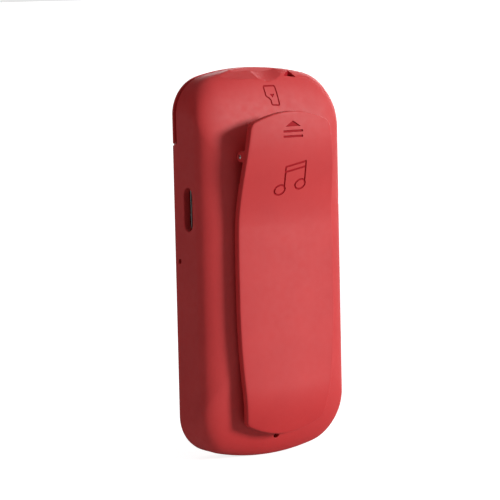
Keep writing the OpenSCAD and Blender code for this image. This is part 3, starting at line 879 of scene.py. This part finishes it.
def pin():
    """Hinge pin with domed ends that stand a little past the ears."""
    dome = [(0.14, 0.1), (0.11, 0.3), (0.04, 0.44), (-0.08, PIN_R)]
    profile = [(-EAR_X1 - d, r) for d, r in dome] + [(EAR_X1 + d, r) for d, r in reversed(dome)]
    return smooth(lathe("pin", profile, HINGE, "x", 36))


def spring():
    """Torsion spring: a leg up the case, close turns round the pin, a leg up the finger tab."""
    r, x0, steps = COIL_R - WIRE_R, COIL_X - WIRE_R, int(COIL_TURNS * 28)
    leg = (0.5, 1.2, 2, 3, 4, 5)
    path = [(-x0, HINGE_Y - r - math.sin(LEG_TILT_CASE) * d, HINGE_Z + math.cos(LEG_TILT_CASE) * d)
            for d in reversed(leg)]
    for i in range(steps + 1):
        t = math.pi + 2 * math.pi * COIL_TURNS * i / steps
        path.append((-x0 + 2 * x0 * i / steps, HINGE_Y + r * math.cos(t), HINGE_Z + r * math.sin(t)))
    path += [(x0, HINGE_Y + r + math.sin(LEG_TILT_CLIP) * d, HINGE_Z + math.cos(LEG_TILT_CLIP) * d)
             for d in leg]
    return smooth(tube("spring", path, WIRE_R), 60)


# ---- materials -------------------------------------------------------------------------------

def new_material(name):
    """Material with its node tree, shader and object coordinates."""
    mat = bpy.data.materials.new(name)
    mat.use_nodes = True
    nodes, links = mat.node_tree.nodes, mat.node_tree.links
    nodes.clear()
    out = nodes.new("ShaderNodeOutputMaterial")
    bsdf = nodes.new("ShaderNodeBsdfPrincipled")
    links.new(bsdf.outputs["BSDF"], out.inputs["Surface"])
    coords = nodes.new("ShaderNodeTexCoord")
    return mat, nodes, links, bsdf, coords.outputs["Object"]


def noise(nodes, links, coords, scale, detail=3.0, stretch=None):
    if stretch:
        mapping = nodes.new("ShaderNodeMapping")
        mapping.inputs["Scale"].default_value = stretch
        links.new(coords, mapping.inputs["Vector"])
        coords = mapping.outputs["Vector"]
    tex = nodes.new("ShaderNodeTexNoise")
    tex.inputs["Scale"].default_value = scale
    tex.inputs["Detail"].default_value = detail
    links.new(coords, tex.inputs["Vector"])
    return tex.outputs["Fac"]


def blend_colours(nodes, links, factor, low, high):
    mix = nodes.new("ShaderNodeMix")
    mix.data_type = "RGBA"
    links.new(factor, mix.inputs["Factor"])
    mix.inputs["A"].default_value = (*low, 1)
    mix.inputs["B"].default_value = (*high, 1)
    return mix.outputs["Result"]


def spread(nodes, links, value, low, high, start=0.3, end=0.7):
    """Maps start..end of a value to low..high."""
    rng = nodes.new("ShaderNodeMapRange")
    for name, v in (("From Min", start), ("From Max", end), ("To Min", low), ("To Max", high)):
        rng.inputs[name].default_value = v
    links.new(value, rng.inputs["Value"])
    return rng.outputs["Result"]


def surface(name, low, high, rough, grain, depth, stretch=None, mottle=130.0, **sockets):
    """Moulded, cast or rolled surface: mottled colour, uneven gloss and a fine relief of `depth` metres."""
    mat, nodes, links, bsdf, coords = new_material(name)
    broad = spread(nodes, links, noise(nodes, links, coords, mottle, 4, stretch), 0, 1)
    links.new(blend_colours(nodes, links, broad, low, high), bsdf.inputs["Base Color"])
    patch = noise(nodes, links, coords, mottle * 6, 3, stretch)
    links.new(spread(nodes, links, patch, rough[0], rough[1]), bsdf.inputs["Roughness"])
    bump = nodes.new("ShaderNodeBump")
    bump.inputs["Distance"].default_value = depth
    bump.inputs["Strength"].default_value = 1.0
    links.new(noise(nodes, links, coords, grain, 2, stretch), bump.inputs["Height"])
    links.new(bump.outputs["Normal"], bsdf.inputs["Normal"])
    for socket, value in sockets.items():
        bsdf.inputs[socket.replace("_", " ")].default_value = value
    return mat


def masked(mat, test, colour):
    """Paints a second colour where the mask built by `test` is 1."""
    nodes, links = mat.node_tree.nodes, mat.node_tree.links
    bsdf = next(n for n in nodes if n.type == "BSDF_PRINCIPLED")
    before = bsdf.inputs["Base Color"].links[0].from_socket
    mixed = blend_colours(nodes, links, test(nodes, links), colour, colour)
    links.new(before, mixed.node.inputs["A"])
    links.new(mixed, bsdf.inputs["Base Color"])
    return mat


def window_mask(half_w, half_h):
    """Mask that is 1 inside the lit area of the screen."""
    def test(nodes, links):
        coords = nodes.new("ShaderNodeTexCoord").outputs["Object"]
        split = nodes.new("ShaderNodeSeparateXYZ")
        links.new(coords, split.inputs["Vector"])
        parts = []
        for axis, centre, half in (("X", 0.0, half_w), ("Z", LENS_Z * MM, half_h)):
            away = nodes.new("ShaderNodeMath")
            away.operation = "COMPARE"
            links.new(split.outputs[axis], away.inputs[0])
            away.inputs[1].default_value = centre
            away.inputs[2].default_value = half * MM
            parts.append(away.outputs["Value"])
        both = nodes.new("ShaderNodeMath")
        both.operation = "MULTIPLY"
        links.new(parts[0], both.inputs[0])
        links.new(parts[1], both.inputs[1])
        return both.outputs["Value"]
    return test


def track_mask(nodes, links):
    """Mask of copper tracks on the circuit board."""
    coords = nodes.new("ShaderNodeTexCoord").outputs["Object"]
    bricks = nodes.new("ShaderNodeTexBrick")
    bricks.inputs["Scale"].default_value = 260
    bricks.inputs["Mortar Size"].default_value = 0.03
    turn = nodes.new("ShaderNodeMapping")
    turn.inputs["Rotation"].default_value = (math.pi / 2, 0, 0)
    links.new(coords, turn.inputs["Vector"])
    links.new(turn.outputs["Vector"], bricks.inputs["Vector"])
    return bricks.outputs["Fac"]


def build_materials():
    """A finish for each slot of the CAD, and the darker colour with a faint red glow painted into engraved
    hollows as their shade.
    """
    grain, fine = 5200.0, 9000.0
    coral = ((0.600, 0.025, 0.027), (0.640, 0.030, 0.031))
    made = [
        surface("coral_plastic", *coral, (0.58, 0.66), grain, 1.2e-5, Specular_IOR_Level=0.7),
        surface("clip_plastic", *coral, (0.56, 0.64), grain, 1.2e-5, Specular_IOR_Level=0.6),
        # Painted shade for engraved lines, the card sign and the eyelet pocket: darker coral, with a faint
        # red emission standing in for light bounced inside them.
        surface("painted_recess_shade", (0.36, 0.010, 0.016), (0.41, 0.013, 0.020), (0.6, 0.7), grain, 0.8e-5,
                Specular_IOR_Level=0.15, Emission_Color=(0.40, 0.006, 0.014, 1), Emission_Strength=0.12),
        surface("key_plastic", (0.56, 0.030, 0.036), (0.61, 0.037, 0.043), (0.40, 0.48), fine, 0.8e-5),
        surface("light_key_plastic", (0.80, 0.79, 0.76), (0.86, 0.85, 0.82), (0.30, 0.38), fine, 0.5e-5,
                mottle=180.0),
        surface("black_foam", (0.010, 0.010, 0.011), (0.030, 0.030, 0.032), (0.85, 0.95), 7000.0, 6e-5),
        surface("display_glass", (0.010, 0.011, 0.014), (0.016, 0.018, 0.022), (0.08, 0.12), fine, 0.1e-5),
        surface("white_plastic", (0.72, 0.72, 0.70), (0.80, 0.80, 0.78), (0.42, 0.5), fine, 0.8e-5),
        surface("amber_film", (0.50, 0.20, 0.03), (0.62, 0.27, 0.05), (0.25, 0.35), fine, 0.4e-5),
        masked(surface("green_laminate", (0.010, 0.085, 0.040), (0.016, 0.110, 0.052), (0.28, 0.36),
                       grain, 0.8e-5), track_mask, (0.022, 0.160, 0.070)),
        surface("dome_film", (0.50, 0.52, 0.54), (0.62, 0.64, 0.66), (0.25, 0.35), fine, 0.5e-5,
                Metallic=0.6),
        surface("chip_resin", (0.012, 0.012, 0.013), (0.022, 0.022, 0.024), (0.5, 0.62), fine, 1.4e-5),
        surface("ceramic", (0.42, 0.30, 0.18), (0.55, 0.42, 0.28), (0.4, 0.5), fine, 0.8e-5, mottle=700.0),
        surface("plated_steel", (0.50, 0.50, 0.50), (0.64, 0.63, 0.61), (0.24, 0.36), 3000.0, 0.4e-5,
                stretch=(0.15, 1, 1), Metallic=1.0),
        surface("black_plastic", (0.010, 0.010, 0.011), (0.018, 0.018, 0.020), (0.36, 0.46), grain, 1e-5),
        surface("cell_foil", (0.55, 0.57, 0.60), (0.66, 0.68, 0.70), (0.3, 0.42), 2400.0, 2e-5, Metallic=0.9),
        surface("yellow_tape", (0.70, 0.45, 0.05), (0.80, 0.54, 0.09), (0.32, 0.42), fine, 0.6e-5),
        surface("lead_insulation", (0.42, 0.012, 0.012), (0.52, 0.020, 0.018), (0.38, 0.46), fine, 0.6e-5),
        surface("screw_steel", (0.42, 0.42, 0.42), (0.55, 0.55, 0.54), (0.28, 0.4), 3000.0, 0.5e-5,
                Metallic=1.0),
        surface("pin_steel", (0.60, 0.59, 0.57), (0.72, 0.71, 0.69), (0.16, 0.26), 2600.0, 0.3e-5,
                stretch=(0.1, 1, 1), Metallic=1.0),
        surface("spring_steel", (0.46, 0.45, 0.43), (0.60, 0.59, 0.57), (0.2, 0.32), 2600.0, 0.4e-5,
                Metallic=1.0),
        masked(surface("lens_acrylic", (0.0045, 0.0045, 0.0052), (0.0060, 0.0060, 0.0068), (0.05, 0.08),
                       fine, 0.05e-5, Coat_Weight=1.0, Coat_Roughness=0.03),
               window_mask(9.6, 5.2), (0.012, 0.014, 0.018)),
    ]
    return {mat.name.split(".")[0]: mat for mat in made}


def dress(obj, mat):
    """Gives a piece its finish, and painted shade to the faces that a shade-marking cutter left."""
    slots = obj.data.materials
    used = 1 + max(p.material_index for p in obj.data.polygons)
    for i, finish in enumerate((mat, MATS["painted_recess_shade"])[:used]):
        if i < len(slots):
            slots[i] = finish
        else:
            slots.append(finish)


# ---- assembly --------------------------------------------------------------------------------

MATS = build_materials()


def fit(obj, body, slot, *nodes, name=None):
    """Names a piece, gives it its finish and body, and hides the CAD nodes it stands for."""
    obj.name = name or obj.name
    dress(obj, MATS[slot])
    if body:
        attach(obj, body)
    if nodes:
        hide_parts(*nodes)
    return obj


for node in frame["nodes"].values():
    for material_slot in node.material_slots:
        old = material_slot.material.name.split(".")[0] if material_slot.material else ""
        material_slot.material = MATS.get(old, MATS["black_plastic"])

fit(case_shell(), "case", "coral_plastic", "rear_shell", name="case_back")
fit(front_plate(), "case", "coral_plastic", "front_shell", name="key_plate")
fit(bezel(), "case", "coral_plastic", "screen_bezel", name="screen_frame")
fit(lens(), "case", "lens_acrylic", "screen_lens", name="screen_window")

fit(play_key(), "play_key", "light_key_plastic", "play_button", name="play_cap")
for key, degrees in (("volume_up", 0), ("previous", 90), ("volume_down", 180), ("next", 270)):
    fit(ring_key(key + "_cap", degrees), key + "_key", "key_plastic", key + "_button")
for sign, body, slot in key_symbols():
    fit(sign, body, slot)

fit(usb_shell(), "case", "plated_steel", "usb_socket", name="usb_shell")
fit(usb_tongue(), "case", "black_plastic")
fit(usb_contacts(), "case", "plated_steel")
fit(jack_housing(), "case", "black_plastic", "headphone_jack", name="jack_housing")
fit(jack_sleeve(), "case", "plated_steel")

fit(clip(), "clip", "clip_plastic", "belt_clip", name="spring_clip")
fit(pin(), "clip", "pin_steel", "hinge_pin", name="hinge_rod")
coil = fit(spring(), None, "spring_steel", "clip_spring", name="torsion_spring")
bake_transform(coil)


# ---- stage, light and camera -----------------------------------------------------------------

FLOOR_LIFT = 0.86
CAMERA_LENS, CAMERA_ROLL = 179.07, math.radians(-1.27)
CAMERA_AT, CAMERA_TO = (0.266391, 0.399622, 0.091495), (0.001652, -0.004254, 0.040435)


def floor():
    """Plain white studio floor, lifted by FLOOR_LIFT to the camera so that only contact shadows show."""
    n, size = 24, 20.0
    verts = [(size * (2 * i / n - 1), size * (2 * j / n - 1), 0) for j in range(n + 1) for i in range(n + 1)]
    faces = [(j * (n + 1) + i, j * (n + 1) + i + 1, (j + 1) * (n + 1) + i + 1, (j + 1) * (n + 1) + i)
             for j in range(n) for i in range(n)]
    mesh = bpy.data.meshes.new("floor")
    mesh.from_pydata(verts, [], faces)
    obj = bpy.data.objects.new("floor", mesh)
    bpy.context.scene.collection.objects.link(obj)
    mat, nodes, links, bsdf, coords = new_material("floor_paper")
    mottle = noise(nodes, links, coords, 30)
    links.new(blend_colours(nodes, links, mottle, (0.62, 0.62, 0.62), (0.66, 0.66, 0.66)),
              bsdf.inputs["Base Color"])
    bsdf.inputs["Roughness"].default_value = 0.9
    bsdf.inputs["Specular IOR Level"].default_value = 0.0
    lift = nodes.new("ShaderNodeEmission")
    path = nodes.new("ShaderNodeLightPath")
    gain = nodes.new("ShaderNodeMath")
    gain.operation = "MULTIPLY"
    gain.inputs[1].default_value = FLOOR_LIFT
    links.new(path.outputs["Is Camera Ray"], gain.inputs[0])
    links.new(gain.outputs["Value"], lift.inputs["Strength"])
    add = nodes.new("ShaderNodeAddShader")
    links.new(bsdf.outputs["BSDF"], add.inputs[0])
    links.new(lift.outputs["Emission"], add.inputs[1])
    out = next(k for k in nodes if k.type == "OUTPUT_MATERIAL")
    links.new(add.outputs["Shader"], out.inputs["Surface"])
    obj.data.materials.append(mat)


def world(direction, low, high):
    """White surroundings to the camera; as light, from `low` up to `high` towards `direction`."""
    w = bpy.data.worlds.new("studio")
    bpy.context.scene.world = w
    w.use_nodes = True
    nodes, links = w.node_tree.nodes, w.node_tree.links
    nodes.clear()
    out = nodes.new("ShaderNodeOutputWorld")
    back = nodes.new("ShaderNodeBackground")
    path = nodes.new("ShaderNodeLightPath")
    coords = nodes.new("ShaderNodeTexCoord")
    dot = nodes.new("ShaderNodeVectorMath")
    dot.operation = "DOT_PRODUCT"
    dot.inputs[1].default_value = Vector(direction).normalized()
    links.new(coords.outputs["Generated"], dot.inputs[0])
    light = spread(nodes, links, dot.outputs["Value"], low, high, -1, 1)
    mix = nodes.new("ShaderNodeMix")
    mix.data_type = "FLOAT"
    links.new(path.outputs["Is Camera Ray"], mix.inputs["Factor"])
    links.new(light, mix.inputs["A"])
    mix.inputs["B"].default_value = 1.0
    links.new(mix.outputs["Result"], back.inputs["Strength"])
    links.new(back.outputs["Background"], out.inputs["Surface"])


def aim(obj, spot, target, roll=0.0):
    """Puts an object at a spot and turns its view axis to the target."""
    way = (Vector(target) - Vector(spot)).normalized()
    turn = way.to_track_quat("-Z", "Y").to_matrix().to_4x4() @ Matrix.Rotation(roll, 4, "Z")
    obj.matrix_world = Matrix.Translation(Vector(spot)) @ turn


def sun(name, direction, strength, angle, glossy=True, diffuse=True):
    """Distant light from `direction`, `angle` degrees wide; it can leave out shines or diffuse light."""
    data = bpy.data.lights.new(name, "SUN")
    data.energy, data.angle = strength, math.radians(angle)
    obj = bpy.data.objects.new(name, data)
    bpy.context.scene.collection.objects.link(obj)
    obj.visible_glossy = glossy
    obj.visible_diffuse = diffuse
    aim(obj, Vector(direction), (0, 0, 0))


def camera():
    data = bpy.data.cameras.new("camera")
    data.lens = CAMERA_LENS
    data.clip_start, data.clip_end = 0.01, 100
    obj = bpy.data.objects.new("camera", data)
    bpy.context.scene.collection.objects.link(obj)
    aim(obj, CAMERA_AT, CAMERA_TO, CAMERA_ROLL)
    bpy.context.scene.camera = obj


floor()
world((-0.80, 0.55, -0.15), 0.01, 0.43)
sun("key", (-0.56, 0.785, 0.26), 2.60, 15)
sun("side_fill", (0.97, -0.20, -0.05), 0.70, 40, glossy=False)
sun("top", (-0.10, 0.15, 1.0), 0.3, 70)
sun("front", (-0.88, -0.42, 0.20), 0.65, 40)
sun("sheen", (-0.72, -0.68, 0.10), 3.0, 50, diffuse=False)
camera()
bpy.context.scene.view_settings.view_transform = "Standard"
